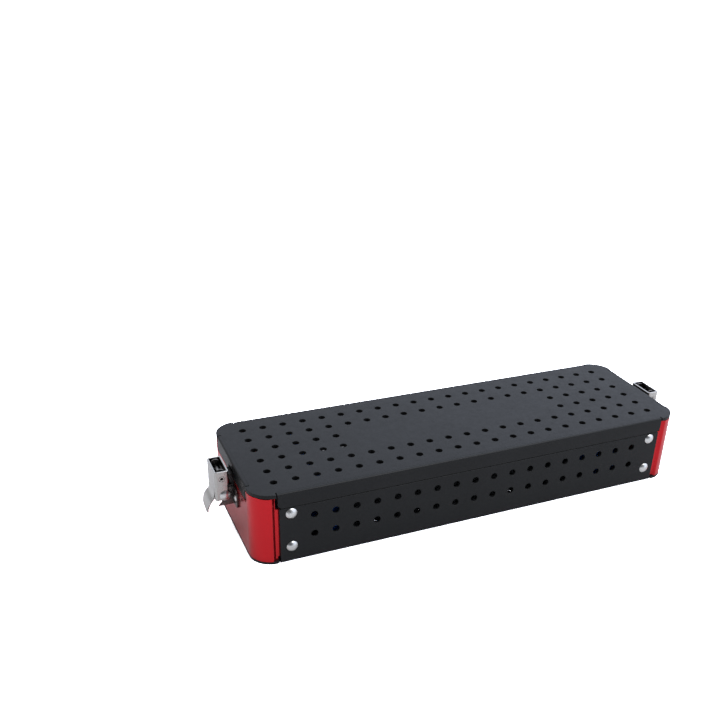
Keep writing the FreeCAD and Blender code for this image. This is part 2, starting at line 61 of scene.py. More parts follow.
MERGE_GAP = 0.000002  # points nearer than this become one
FLAT_BREAK = 50  # degrees between faces from which a flat piece shades sharp
ROUND_BREAK = 40  # the same for turned pieces
CUT_REACH = 0.004  # how far a slot's cutter reaches to each side of the sheet's face
HEAD_GAP = 0.00002  # between a pivot head and the lever's cheek
EAR_REACH = 0.0014  # from the hook's side to the bracket ear's outer face
COIL_GAP = 0.0001

FLOOR_LIFT = 4.0  # how much brighter the camera sees the floor than it is
FLOOR_SHADE = 0.2  # the same in the painted shade patch behind the container
SHADE_PLACE = (0.0, -0.5525, 0.0)
SHADE_SCALE = (8.0, 13.0, 0.0)
SHADE_RUN = (0.5, 1.02)
SKY_RUN = (-0.6, 0.8)  # along X, from the dim left to the bright right
SKY_LEVELS = (0.42, 1.22)
SKY_WARM = (1.06, 1.03, 0.97, 1.0)
SKY_COOL = (1.06, 1.15, 1.35, 1.0)
DARK_WAY = (-0.378, -0.789, 0.484)  # towards the dark behind the camera
DARK_RUN = (0.6, 0.86)
DARK_LEVELS = (1.0, 0.12)
SOFTBOXES = (
    ("softbox_top", (0.5, -0.6, 1.4), 1.1, 15.0),
    ("softbox_left", (-1.4, 0.1, 1.1), 1.0, 8.0),
)
CAMERA_LENS = 44.73
CAMERA_SHIFT = (-0.0613, 0.1113)
CAMERA_PLACE = (-0.22988, -0.41473, 0.28954)
CAMERA_RIGHT = (0.91047, -0.41179, 0.03847)
CAMERA_VIEW = (0.37754, 0.78954, -0.48383)


def length(label, text, value):
    """A size in metres that a user may change."""
    return FloatProperty(name=label, description=text, default=value, min=0.0, unit="LENGTH", precision=5)


def colour(label, text, value):
    return FloatVectorProperty(
        name=label, description=text, default=value, min=0.0, max=1.0, size=3, subtype="COLOR"
    )


class ContainerSizes(bpy.types.PropertyGroup):
    """Sizes of the sheets, holes and small pieces."""

    pitch: length("Hole Pitch", "Distance between neighbouring holes", 0.012)
    hole: length("Hole Diameter", "Diameter of each punched hole", 0.004)
    corner: length("Corner Radius", "Radius of the container's upright corners", 0.0126)
    lid_sheet: length("Lid Sheet", "Thickness of the lid", 0.002)
    lid_fold: length("Lid Fold", "Outer radius of the lid's folds", 0.001)
    fold_inner: length("Fold Inside", "Inner radius of the folds", 0.0003)
    side_run: length("Side Flange Run", "Half the length of the lid's long flanges", 0.1218)
    end_run: length("End Flange Run", "Half the width of the lid's end flanges", 0.0285)
    relief: length("Relief Slot", "Width of the slot beside each flange", 0.0005)
    side_corner: length("Side Flange Corner", "Lower corner radius of the long flanges", 0.003)
    end_corner: length("End Flange Corner", "Lower corner radius of the end flanges", 0.003)
    slot_half: length("Slot Half Width", "Half the width of the slot for the hook", 0.0045)
    slot_low: length("Slot Bottom", "Distance from the lid's top to the slot's lower edge", 0.0075)
    slot_high: length("Slot Top", "Distance from the lid's top to the slot's upper edge", 0.0045)
    panel_sheet: length("Panel Sheet", "Thickness of the base", 0.0015)
    floor_fold: length("Floor Fold", "Outer radius of the folds along the floor", 0.001)
    panel_run: length("Panel Run", "Half the length of the side panels", 0.121)
    rim_run: length("Rim Run", "Half the length of the set-back rim", 0.108)
    notch_run: length("Notch Run", "Half the distance between the bend notches", 0.122)
    step: length("Step Height", "Height of the ledge under the lid's flange", 0.0337)
    step_round: length("Step Round", "Rounding along the ledge's outer edge", 0.0006)
    rim_back: length("Rim Set-back", "Distance from the panel's face to the rim's face", 0.0022)
    low_row: length("Lower Hole Row", "Height of the side panels' lower holes", 0.0146)
    floor_pitch_x: length("Floor Pitch X", "Distance between floor holes along the container", 0.03)
    floor_pitch_y: length("Floor Pitch Y", "Distance between floor holes across the container", 0.024)
    sheet_edge: length("Sheet Edge", "Rounding on the edges of the thick sheets", 0.00018)
    fine_edge: length("Fine Edge", "Rounding on the edges of the small latch pieces", 0.00012)
    lever_edge: length("Lever Edge", "Rounding on the edges of the levers", 0.00025)
    soft_edge: length("Soft Edge", "Rounding on the edges of the silicone", 0.0007)


class ContainerPieces(bpy.types.PropertyGroup):
    """Sizes of the rivets and the springs."""

    side_shank: length("Side Rivet Shank", "Shank diameter of the side rivets", 0.0032)
    side_head: length("Side Rivet Head", "Head diameter of the side rivets", 0.0062)
    side_dome: length("Side Rivet Dome", "Head height of the side rivets", 0.0016)
    side_tail: length("Side Rivet Tail", "Tail diameter of the side rivets", 0.005)
    side_tail_dome: length("Side Tail Height", "Tail height of the side rivets", 0.0008)
    latch_shank: length("Latch Rivet Shank", "Shank diameter of the latch rivets", 0.0024)
    latch_head: length("Latch Rivet Head", "Head diameter of the latch rivets", 0.0038)
    latch_dome: length("Latch Rivet Dome", "Head height of the latch rivets", 0.0009)
    latch_tail_dome: length("Latch Tail Height", "Tail height of the latch rivets", 0.0006)
    pivot_head: length("Pivot Head", "Head diameter of the pivot pins", 0.006)
    pivot_dome: length("Pivot Dome", "Head height of the pivot pins", 0.0011)
    pivot_shoulder: length("Pivot Shoulder", "Diameter that the lever turns on", 0.0044)
    pivot_shank: length("Pivot Shank", "Shank diameter of the pivot pins", 0.003)
    wire: length("Spring Wire", "Wire diameter of the torsion springs", 0.0007)
    coil: length("Spring Coil", "Mean diameter of the torsion springs", 0.0042)
    turns: IntProperty(name="Spring Turns", description="Turns of each torsion spring", default=14, min=2)


class ContainerColours(bpy.types.PropertyGroup):
    """Colours of the finishes."""

    black: colour("Black Anodising", "Colour of the lid and the base", (0.0092, 0.0095, 0.0102))
    red: colour("Red Anodising", "Colour of the end pieces", (0.55, 0.008, 0.014))
    steel: colour("Latch Steel", "Colour of the levers", (0.46, 0.445, 0.425))
    # Painted shade: the brackets and hooks are the levers' stainless, darkened to stand in for the shade they
    # sit in.
    dark_steel: colour("Dark Steel", "Colour of the brackets and hooks", (0.11, 0.1, 0.095))
    bright: colour("Bright Steel", "Colour of the rivets and pins", (0.6, 0.6, 0.59))
    spring: colour("Spring Steel", "Colour of the springs", (0.42, 0.41, 0.4))
    silicone: colour("Silicone", "Colour of the scope holders", (0.01, 0.13, 0.5))
    floor: colour("Studio Floor", "Colour of the floor under the container", (0.93, 0.93, 0.93))
    floor_bounce: colour("Floor Bounce", "Colour of the light that the floor throws back", (0.66, 0.66, 0.66))


def sizes():
    return bpy.context.scene.container_sizes


def pieces():
    return bpy.context.scene.container_pieces


def colours():
    return bpy.context.scene.container_colours


# Shader groups and finishes


def add(tree, kind, inputs=None, **options):
    """Add a node: options set its properties, and inputs give it values or other nodes' outputs."""
    node = tree.nodes.new(kind)
    for name, value in options.items():
        setattr(node, name, value)
    for key, value in (inputs or {}).items():
        if isinstance(value, bpy.types.NodeSocket):
            tree.links.new(value, node.inputs[key])
        else:
            node.inputs[key].default_value = value
    return node


def remap(tree, value, source, target, **options):
    """Map a value from one range to another."""
    ends = {"From Min": source[0], "From Max": source[1], "To Min": target[0], "To Max": target[1]}
    return add(tree, "ShaderNodeMapRange", {"Value": value, **ends}, **options).outputs["Result"]


def blend(tree, share, first, second):
    """Mix two colours."""
    mix = add(tree, "ShaderNodeMix", {"Factor": share, "A": first, "B": second}, data_type="RGBA")
    return mix.outputs["Result"]


def value_group(name, inputs, outputs):
    """Empty shader group with named inputs and outputs."""
    tree = bpy.data.node_groups.new(name, "ShaderNodeTree")
    for label, kind, default in inputs:
        socket = tree.interface.new_socket(name=label, in_out="INPUT", socket_type=kind)
        if default is not None:
            socket.default_value = default
    for label in outputs:
        tree.interface.new_socket(name=label, in_out="OUTPUT", socket_type="NodeSocketFloat")
    return tree, tree.nodes.new("NodeGroupInput"), tree.nodes.new("NodeGroupOutput")


def grain_group():
    """Fine even grain: a height for the bump and a mask for the gloss."""
    name = "fine_grain"
    if name in bpy.data.node_groups:
        return bpy.data.node_groups[name]
    tree, source, result = value_group(
        name,
        [("Vector", "NodeSocketVector", None), ("Scale", "NodeSocketFloat", 900.0),
         ("Stretch", "NodeSocketVector", (1.0, 1.0, 1.0))],
        ["Height", "Mask"],
    )
    stretch = add(tree, "ShaderNodeVectorMath", {0: source.outputs["Vector"], 1: source.outputs["Stretch"]},
                  operation="MULTIPLY")
    for label, share, detail in (("Height", 1.0, 3.0), ("Mask", 0.12, 5.0)):
        scale = add(tree, "ShaderNodeMath", {0: source.outputs["Scale"], 1: share}, operation="MULTIPLY")
        noise = add(tree, "ShaderNodeTexNoise", {
            "Detail": detail, "Roughness": 0.6, "Vector": stretch.outputs[0], "Scale": scale.outputs[0],
        })
        tree.links.new(noise.outputs["Fac"], result.inputs[label])
    return tree


def handling_group():
    """Broad soft marks that handling and washing leave on a finish."""
    name = "handling_marks"
    if name in bpy.data.node_groups:
        return bpy.data.node_groups[name]
    tree, source, result = value_group(
        name, [("Vector", "NodeSocketVector", None), ("Scale", "NodeSocketFloat", 25.0)], ["Mask"]
    )
    noise = add(tree, "ShaderNodeTexNoise", {
        "Detail": 4.0, "Distortion": 0.6,
        "Vector": source.outputs["Vector"], "Scale": source.outputs["Scale"],
    })
    tree.links.new(remap(tree, noise.outputs["Fac"], (0.38, 0.72), (0.0, 1.0)), result.inputs["Mask"])
    return tree


def finish(name, base, metallic, gloss, grain, grain_depth, stretch=(1, 1, 1), lift=1.25, specular=0.5,
           coat=0.0, painted_shade_reach=0.0, painted_shade_run=(0.25, 0.8)):
    """Material with the shared grain and handling marks, and painted shade that darkens it in hollows
    narrower than its reach.
    """
    if name in bpy.data.materials:
        return bpy.data.materials[name]
    made = bpy.data.materials.new(name)
    made.use_nodes = True
    made.diffuse_color = (*base, 1.0)
    tree = made.node_tree
    place = add(tree, "ShaderNodeTexCoord").outputs["Object"]
    fine = add(tree, "ShaderNodeGroup", node_tree=grain_group())
    marks = add(tree, "ShaderNodeGroup", node_tree=handling_group())
    tree.links.new(place, fine.inputs["Vector"])
    tree.links.new(place, marks.inputs["Vector"])
    fine.inputs["Scale"].default_value = grain
    fine.inputs["Stretch"].default_value = stretch
    worn = (*[min(1.0, part * lift) for part in base], 1.0)
    shade = blend(tree, marks.outputs["Mask"], (*base, 1.0), worn)
    # Painted shade: ambient occlusion darkens the colour towards black in hollows and close to other parts.
    if painted_shade_reach:
        painted_shade = add(tree, "ShaderNodeAmbientOcclusion", {"Distance": painted_shade_reach}, samples=8)
        share = remap(tree, painted_shade.outputs["AO"], painted_shade_run, (0.06, 1.0))
        shade = blend(tree, share, (0.0, 0.0, 0.0, 1.0), shade)
    bump = add(tree, "ShaderNodeBump", {
        "Strength": 0.35, "Distance": grain_depth, "Height": fine.outputs["Height"],
    })
    shader = tree.nodes["Principled BSDF"]
    for label, value in (("Metallic", metallic), ("Specular IOR Level", specular), ("Coat Weight", coat),
                         ("Coat Roughness", 0.2)):
        shader.inputs[label].default_value = value
    for label, source in (("Base Color", shade), ("Normal", bump.outputs["Normal"]),
                          ("Roughness", remap(tree, fine.outputs["Mask"], (0.3, 0.7), gloss))):
        tree.links.new(source, shader.inputs[label])
    return made


def black_finish():
    return finish("anodised_black", tuple(colours().black), 0.0, (0.36, 0.46), 2600.0, 0.00002, specular=0.19)


# The red, the latch steels and the rivets get painted shade in their hollows.
def red_finish():
    return finish("anodised_red", tuple(colours().red), 0.85, (0.18, 0.26), 1800.0, 0.00001, lift=1.1,
                  coat=0.25, painted_shade_reach=0.014, painted_shade_run=(0.05, 0.62))


def steel_finish():
    return finish("latch_steel", tuple(colours().steel), 1.0, (0.22, 0.36), 1500.0, 0.00001, (1, 1, 0.12),
                  painted_shade_reach=0.009, painted_shade_run=(0.3, 0.85))


# Steel darkened as painted shade, for the brackets and hooks.
def shade_darkened_finish():
    return finish("dark_steel", tuple(colours().dark_steel), 1.0, (0.26, 0.4), 1500.0, 0.00001, painted_shade_reach=0.004)


def bright_finish():
    return finish("bright_steel", tuple(colours().bright), 1.0, (0.28, 0.38), 1500.0, 0.000005, painted_shade_reach=0.002)


def spring_finish():
    return finish("spring_wire", tuple(colours().spring), 1.0, (0.25, 0.35), 1500.0, 0.000005)


def silicone_finish():
    return finish("blue_silicone", tuple(colours().silicone), 0.0, (0.5, 0.62), 1200.0, 0.00002, lift=1.15)


# Mesh helpers


def link(name, mesh):
    made = bpy.data.objects.new(name, mesh)
    bpy.context.scene.collection.objects.link(made)
    return made


def loft(sections, open_sides=()):
    """Closed shell through equal loops of points, left open along some sides."""
    shell = bmesh.new()
    rings = [[shell.verts.new(point) for point in section] for section in sections]
    count = len(sections[0])
    for near, far in zip(rings, rings[1:]):
        for i in range(count):
            j = (i + 1) % count
            shell.faces.new((near[i], near[j], far[j], far[i]))
    shell.faces.new(rings[0][::-1])
    shell.faces.new(rings[-1])
    bmesh.ops.recalc_face_normals(shell, faces=shell.faces)
    spare = []
    for near, far in zip(rings, rings[1:]):
        for i in open_sides:
            ends = {near[i], near[(i + 1) % count], far[i], far[(i + 1) % count]}
            spare += [face for face in near[i].link_faces if set(face.verts) == ends]
    bmesh.ops.delete(shell, geom=spare, context="FACES_ONLY")
    return shell


def run_profile(profile, start, end, open_sides=()):
    """Straight length of a (out, up) profile along X, with out as +Y."""
    return loft([[(x, out, up) for out, up in profile] for x in (start, end)], open_sides)


def plate(outline, window, top, thickness, open_walls=()):
    """Flat plate with walls round its outline and a window left for punched tiles."""
    shell = bmesh.new()
    loops = [[Vector((x, y, 0.0)) for x, y in loop] for loop in (outline, window) if loop]
    flat = [point for loop in loops for point in loop]
    upper = [shell.verts.new((p.x, p.y, top)) for p in flat]
    lower = [shell.verts.new((p.x, p.y, top - thickness)) for p in flat]
    for a, b, c in tessellate_polygon(loops):
        if (flat[b] - flat[a]).cross(flat[c] - flat[a]).z < 0:
            b, c = c, b
        shell.faces.new((upper[a], upper[b], upper[c]))
        shell.faces.new((lower[a], lower[c], lower[b]))
    count = len(outline)
    for i in range(count):
        if i not in open_walls:
            j = (i + 1) % count
            shell.faces.new((lower[i], lower[j], upper[j], upper[i]))
    return shell


def arc(centre_x, centre_y, radius, start, end, steps):
    """Points on an arc, angles in degrees, both ends included."""
    angles = [math.radians(start + (end - start) * i / steps) for i in range(steps + 1)]
    return [(centre_x + radius * math.cos(a), centre_y + radius * math.sin(a)) for a in angles]


def four_corners(corner):
    """Outline through a corner's points and their copies, anticlockwise."""
    outline = list(corner)
    outline += [(-x, y) for x, y in reversed(corner)]
    outline += [(-x, -y) for x, y in corner]
    outline += [(x, -y) for x, y in reversed(corner)]
    return outline


def box_shell(low, high):
    shell = bmesh.new()
    bmesh.ops.create_cube(shell, size=1.0)
    middle = [(a + b) / 2 for a, b in zip(low, high)]
    span = [b - a for a, b in zip(low, high)]
    place = Matrix.Translation(middle) @ Matrix.Diagonal((*span, 1.0))
    bmesh.ops.transform(shell, matrix=place, verts=shell.verts)
    return shell


def as_mesh(shell, name):
    mesh = bpy.data.meshes.new(name)
    shell.to_mesh(mesh)
    shell.free()
    return mesh


def settle(made):
    """Work an object's modifiers into a plain mesh of its own."""
    bpy.context.view_layer.update()
    graph = bpy.context.evaluated_depsgraph_get()
    mesh = bpy.data.meshes.new_from_object(made.evaluated_get(graph), depsgraph=graph)
    made.modifiers.clear()
    made.data = mesh
    return made


def carve(shell, cutters):
    """Cut closed shells out of a closed shell."""
    target = link("carving", as_mesh(shell, "carving"))
    tools = [link("cutter", as_mesh(cutter, "cutter")) for cutter in cutters]
    for tool in tools:
        cut = target.modifiers.new("cut", "BOOLEAN")
        cut.operation = "DIFFERENCE"
        cut.solver = "EXACT"
        cut.object = tool
    settle(target)
    result = bmesh.new()
    result.from_mesh(target.data)
    for spare in [target] + tools:
        bpy.data.objects.remove(spare)
    return result


def turned(shell, angle, move=(0, 0, 0)):
    """The shell turned about Z by an angle in degrees, then moved."""
    place = Matrix.Translation(move) @ Matrix.Rotation(math.radians(angle), 4, "Z")
    bmesh.ops.transform(shell, matrix=place, verts=shell.verts)
    return shell


def upright(shell, front):
    """A flat panel stood up as the side panel on -Y, or on +Y, facing outwards."""
    side = -1 if front else 1
    place = Matrix(((-side, 0, 0, 0), (0, 0, side, 0), (0, 1, 0, 0), (0, 0, 0, 1)))
    bmesh.ops.transform(shell, matrix=place, verts=shell.verts)
    return shell


def one_shell(shells):
    """One mesh from several shells, with their meeting edges merged."""
    whole = bmesh.new()
    for shell in shells:
        part = as_mesh(shell, "part")
        whole.from_mesh(part)
        bpy.data.meshes.remove(part)
    bmesh.ops.remove_doubles(whole, verts=whole.verts, dist=MERGE_GAP)
    return whole


def mesh_shell(made):
    """Take an object's mesh out as a shell, and the object away."""
    shell = bmesh.new()
    shell.from_mesh(made.data)
    bpy.data.objects.remove(made)
    return shell


def soften(made, width, segments=2, angle=38.0):
    """Round the sharp edges and shade the flat faces flat."""
    bevel = made.modifiers.new("edges", "BEVEL")
    bevel.width = width
    bevel.segments = segments
    bevel.limit_method = "ANGLE"
    bevel.angle_limit = math.radians(angle)
    bevel.use_clamp_overlap = False
    bevel.miter_outer = "MITER_ARC"
    settle(made)
    made.data.shade_smooth()
    made.data.set_sharp_from_angle(angle=math.radians(FLAT_BREAK))
    weight = made.modifiers.new("normals", "WEIGHTED_NORMAL")
    weight.keep_sharp = True
    weight.weight = 90
    return settle(made)


def show(made, body, material, slot, *nodes):
    """Give a piece its finish, hand it to its body, and let it stand for its nodes."""
    made.data.materials.clear()
    made.data.materials.append(material)
    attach(made, body)
    if nodes:
        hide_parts(*nodes)
    return made


def softened_node(node, name, width, segments=2, angle=38.0):
    """Copy of a solid piece with its edges rounded."""
    shell = bmesh.new()
    shell.from_mesh(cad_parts[node].data)
    bmesh.ops.remove_doubles(shell, verts=shell.verts, dist=MERGE_GAP)
    bmesh.ops.dissolve_limit(shell, angle_limit=math.radians(0.4), verts=shell.verts, edges=shell.edges)
    bmesh.ops.recalc_face_normals(shell, faces=shell.faces)
    return soften(link(name, as_mesh(shell, name)), width, segments, angle)


# Node trees for what repeats


def shape_tree(name, inputs):
    """Empty geometry tree with named inputs, and its two end nodes."""
    tree = bpy.data.node_groups.new(name, "GeometryNodeTree")
    tree.interface.new_socket(name="Geometry", in_out="INPUT", socket_type="NodeSocketGeometry")
    for label, kind in inputs:
        tree.interface.new_socket(name=label, in_out="INPUT", socket_type=kind)
    tree.interface.new_socket(name="Geometry", in_out="OUTPUT", socket_type="NodeSocketGeometry")
    return tree, tree.nodes.new("NodeGroupInput"), tree.nodes.new("NodeGroupOutput")


def calculate(tree, operation, first, second=0.5):
    return add(tree, "ShaderNodeMath", {0: first, 1: second}, operation=operation).outputs[0]


def run_tree(made, tree, values):
    """Run a tree on an object and keep the plain mesh."""
    modifier = made.modifiers.new(tree.name, "NODES")
    modifier.node_group = tree
    for item in tree.interface.items_tree:
        if item.item_type == "SOCKET" and item.in_out == "INPUT" and item.name in values:
            modifier[item.identifier] = values[item.name]
    return settle(made)


def finish_tree(tree, geometry, material, result, merge=False):
    """Realize the instances, set the finish and end the tree."""
    last = add(tree, "GeometryNodeRealizeInstances", {"Geometry": geometry})
    if merge:
        last = add(tree, "GeometryNodeMergeByDistance", {"Geometry": last.outputs[0], "Distance": MERGE_GAP})
    last = add(tree, "GeometryNodeSetMaterial", {"Geometry": last.outputs[0], "Material": material})
    tree.links.new(last.outputs["Geometry"], result.inputs["Geometry"])


def punched_sheet_tree():
    """Rows and columns of punched tiles, with plain tiles in a bare middle."""
    name = "punched_sheet"
    if name in bpy.data.node_groups:
        return bpy.data.node_groups[name]
    tree, source, result = shape_tree(name, [
        ("Columns", "NodeSocketInt"), ("Rows", "NodeSocketInt"),
        ("Pitch X", "NodeSocketFloat"), ("Pitch Y", "NodeSocketFloat"),
        ("Bare X", "NodeSocketFloat"), ("Bare Y", "NodeSocketFloat"),
        ("Punched Tile", "NodeSocketObject"), ("Plain Tile", "NodeSocketObject"),
        ("Finish", "NodeSocketMaterial"),
    ])
    grid = tree.nodes.new("GeometryNodeMeshGrid")
    for axis, count in (("X", "Columns"), ("Y", "Rows")):
        gaps = calculate(tree, "SUBTRACT", source.outputs[count], 1)
        span = calculate(tree, "MULTIPLY", gaps, source.outputs["Pitch " + axis])
        tree.links.new(span, grid.inputs["Size " + axis])
        tree.links.new(source.outputs[count], grid.inputs["Vertices " + axis])
    split = add(tree, "ShaderNodeSeparateXYZ", {0: add(tree, "GeometryNodeInputPosition").outputs[0]})
    inside = []
    for axis in ("X", "Y"):
        far = calculate(tree, "ABSOLUTE", split.outputs[axis])
        inside.append(calculate(tree, "LESS_THAN", far, source.outputs["Bare " + axis]))
    bare = calculate(tree, "MULTIPLY", inside[0], inside[1])
    punched = calculate(tree, "SUBTRACT", 1.0, bare)
    join = tree.nodes.new("GeometryNodeJoinGeometry")
    for label, chosen in (("Plain Tile", bare), ("Punched Tile", punched)):
        tile = add(tree, "GeometryNodeObjectInfo", {"Object": source.outputs[label]})
        spread = add(tree, "GeometryNodeInstanceOnPoints", {
            "Points": grid.outputs["Mesh"], "Selection": chosen, "Instance": tile.outputs["Geometry"],
        })
        tree.links.new(spread.outputs["Instances"], join.inputs[0])
    finish_tree(tree, join.outputs[0], source.outputs["Finish"], result, merge=True)
    return tree


def rivet_tree():
    """One rivet at each point, turned along that point's own direction."""
    name = "rivet_set"
    if name in bpy.data.node_groups:
        return bpy.data.node_groups[name]
    tree, source, result = shape_tree(name, [
        ("Rivet", "NodeSocketObject"), ("Size", "NodeSocketFloat"), ("Finish", "NodeSocketMaterial"),
    ])
    rivet = add(tree, "GeometryNodeObjectInfo", {"Object": source.outputs["Rivet"]})
    facing = add(tree, "GeometryNodeInputNamedAttribute", {"Name": "facing"}, data_type="FLOAT_VECTOR")
    turn = add(tree, "FunctionNodeAlignRotationToVector", {"Vector": facing.outputs["Attribute"]}, axis="Z")
    spread = add(tree, "GeometryNodeInstanceOnPoints", {
        "Points": source.outputs["Geometry"], "Instance": rivet.outputs["Geometry"],
        "Rotation": turn.outputs["Rotation"], "Scale": source.outputs["Size"],
    })
    finish_tree(tree, spread.outputs["Instances"], source.outputs["Finish"], result)
    return tree


def spring_tree():
    """Torsion spring along Z: a wound coil and two straight legs."""
    name = "torsion_spring"
    if name in bpy.data.node_groups:
        return bpy.data.node_groups[name]
    tree, source, result = shape_tree(name, [
        ("Turns", "NodeSocketFloat"), ("Coil Radius", "NodeSocketFloat"), ("Coil Length", "NodeSocketFloat"),
        ("Wire Radius", "NodeSocketFloat"), ("Low Leg End", "NodeSocketVector"),
        ("High Leg End", "NodeSocketVector"), ("Finish", "NodeSocketMaterial"),
    ])
    radius = source.outputs["Coil Radius"]
    coil = add(tree, "GeometryNodeCurveSpiral", {
        "Resolution": 28, "Rotations": source.outputs["Turns"], "Start Radius": radius, "End Radius": radius,
        "Height": source.outputs["Coil Length"],
    })
    join = add(tree, "GeometryNodeJoinGeometry", {0: coil.outputs["Curve"]})
    for label, height in (("Low Leg End", 0.0), ("High Leg End", source.outputs["Coil Length"])):
        root = add(tree, "ShaderNodeCombineXYZ", {"X": radius, "Z": height})
        ends = {"Start": root.outputs[0], "End": source.outputs[label]}
        leg = add(tree, "GeometryNodeCurvePrimitiveLine", ends)
        tree.links.new(leg.outputs["Curve"], join.inputs[0])
    ring = add(tree, "GeometryNodeCurvePrimitiveCircle", {
        "Resolution": 12, "Radius": source.outputs["Wire Radius"],
    })
    skin = add(tree, "GeometryNodeCurveToMesh", {
        "Fill Caps": True, "Curve": join.outputs[0], "Profile Curve": ring.outputs["Curve"],
    })
    finish_tree(tree, skin.outputs["Mesh"], source.outputs["Finish"], result)
    return tree


def punched_tile(width, depth, hole, thickness):
    """Rectangular tile with a round hole, its top at zero and its sides open."""
    side_steps = 8
    rim = []
    for i in range(4 * side_steps):
        share = 2.0 * (i % side_steps) / side_steps
        corner = ((1 - share, 1), (-1, 1 - share), (share - 1, -1), (1, share - 1))[i // side_steps]
        rim.append((corner[0] * width / 2, corner[1] * depth / 2))
    ring = arc(0, 0, hole / 2, 45, 405, 4 * side_steps)[:-1]
    shell = bmesh.new()
    rows = []
    for loop, up in ((rim, 0.0), (ring, 0.0), (ring, -thickness), (rim, -thickness)):
        rows.append([shell.verts.new((x, y, up)) for x, y in loop])
    for near, far in zip(rows, rows[1:]):
        for i in range(len(near)):
            j = (i + 1) % len(near)
            shell.faces.new((near[i], near[j], far[j], far[i]))
    return shell


def plain_tile(width, depth, thickness):
    """Tile without a hole, its top at zero and its sides open."""
    shell = bmesh.new()
    corners = window_of(1, 1, width, depth)
    shell.faces.new([shell.verts.new((x, y, 0.0)) for x, y in corners])
    shell.faces.new([shell.verts.new((x, y, -thickness)) for x, y in reversed(corners)])
    return shell


def punched_block(columns, rows, pitch_x, pitch_y, thickness, material, bare=(0.0, 0.0)):
    """Shell of a punched area, its top at zero, centred on the origin."""
    hole = sizes().hole
    punched = link("punched_tile", as_mesh(punched_tile(pitch_x, pitch_y, hole, thickness), "punched_tile"))
    plain = link("plain_tile", as_mesh(plain_tile(pitch_x, pitch_y, thickness), "plain_tile"))
    block = link("punched_block", bpy.data.meshes.new("punched_block"))
    run_tree(block, punched_sheet_tree(), {
        "Columns": columns, "Rows": rows, "Pitch X": pitch_x, "Pitch Y": pitch_y,
        "Bare X": bare[0], "Bare Y": bare[1],
        "Punched Tile": punched, "Plain Tile": plain, "Finish": material,
    })
    bpy.data.objects.remove(punched)
    bpy.data.objects.remove(plain)
    return mesh_shell(block)


def window_of(columns, rows, pitch_x, pitch_y):
    """Outline of a punched area."""
    x, y = columns * pitch_x / 2, rows * pitch_y / 2
    return [(x, y), (-x, y), (-x, -y), (x, -y)]


def lathe(profile, steps=36):
    """Closed shell turned about Z from a (radius, height) profile that starts and ends on the axis."""
    shell = bmesh.new()
    rings = []
    for radius, up in profile[1:-1]:
        ring = [(radius * math.cos(2 * math.pi * i / steps), radius * math.sin(2 * math.pi * i / steps), up)
                for i in range(steps)]
        rings.append([shell.verts.new(point) for point in ring])
    for near, far in zip(rings, rings[1:]):
        for i in range(steps):
            j = (i + 1) % steps
            shell.faces.new((near[i], near[j], far[j], far[i]))
    for ring, end in ((rings[0], profile[0]), (rings[-1], profile[-1])):
        tip = shell.verts.new((0.0, 0.0, end[1]))
        for i in range(steps):
            shell.faces.new((ring[i], ring[(i + 1) % steps], tip))
    bmesh.ops.recalc_face_normals(shell, faces=shell.faces)
    return shell


def dome_points(diameter, height, steps=7):
    """(radius, height) points from a dome's crown down to a short upright edge."""
    lip = height * 0.12
    rise = height - lip
    radius = ((diameter / 2) ** 2 + rise ** 2) / (2 * rise)
    top = math.asin(diameter / 2 / radius)
    points = [(radius * math.sin(top * i / steps), height - radius + radius * math.cos(top * i / steps))
              for i in range(steps + 1)]
    return points + [(diameter / 2, 0.0)]


def rivet_shell(shank, head, dome, grip, tail, tail_dome):
    """Rivet along Z: domed head above zero, shank below it, and a low domed tail."""
    tail_points = [(radius, -grip - up) for radius, up in reversed(dome_points(tail, tail_dome, 4))]
    return lathe(dome_points(head, dome) + [(shank / 2, 0.0), (shank / 2, -grip)] + tail_points)


def rivet_piece(name, rivet, places, material):
    """Rivets at several places, each given as a point and the way its head faces."""
    points = bmesh.new()
    for point, _ in places:
        points.verts.new(point)
    made = link(name, as_mesh(points, name))
    facing = made.data.attributes.new("facing", "FLOAT_VECTOR", "POINT")
    for item, (_, way) in zip(facing.data, places):
        item.vector = way
    pattern = link("rivet_pattern", as_mesh(rivet, "rivet_pattern"))
    run_tree(made, rivet_tree(), {"Rivet": pattern, "Size": 1.0, "Finish": material})
    bpy.data.objects.remove(pattern)
    made.data.shade_smooth()
    made.data.set_sharp_from_angle(angle=math.radians(ROUND_BREAK))
    return made


# Pieces


def lid_flange(edge, run, corner, slot=False):
    """Fold and flange on the +Y side of a plate whose edge would be at y = edge."""
    s = sizes()
    top = LID_HIGH.z
    low = LID_LOW.z
    joint = edge - s.lid_sheet - s.fold_inner
    sections = []
    near = [corner * (1 - math.cos(math.radians(a))) for a in range(0, 91, 15)]
    lifts = [corner * (1 - math.sin(math.radians(a))) for a in range(0, 91, 15)]
    stops = [(-run + d, up) for d, up in zip(near, lifts)]
    stops += [(run - d, up) for d, up in reversed(list(zip(near, lifts)))]
    for x, up in stops:
        profile = arc(joint, top - s.lid_sheet - s.fold_inner, s.fold_inner, 90, 0, 4)
        profile += [(edge - s.lid_sheet, low + up), (edge, low + up)]
        profile += arc(edge - s.lid_fold, top - s.lid_fold, s.lid_fold, 0, 90, 6)
        profile += [(joint, top)]
        sections.append([(x, out, height) for out, height in profile])
    shell = loft(sections)
    if slot:
        cutter = box_shell(
            (-s.slot_half, edge - CUT_REACH, top - s.slot_low),
            (s.slot_half, edge + CUT_REACH, top - s.slot_high),
        )
        shell = carve(shell, [cutter])
    spare = [face for face in shell.faces if all(abs(vert.co.y - joint) < 1e-6 for vert in face.verts)]
    bmesh.ops.delete(shell, geom=spare, context="FACES_ONLY")
    return shell


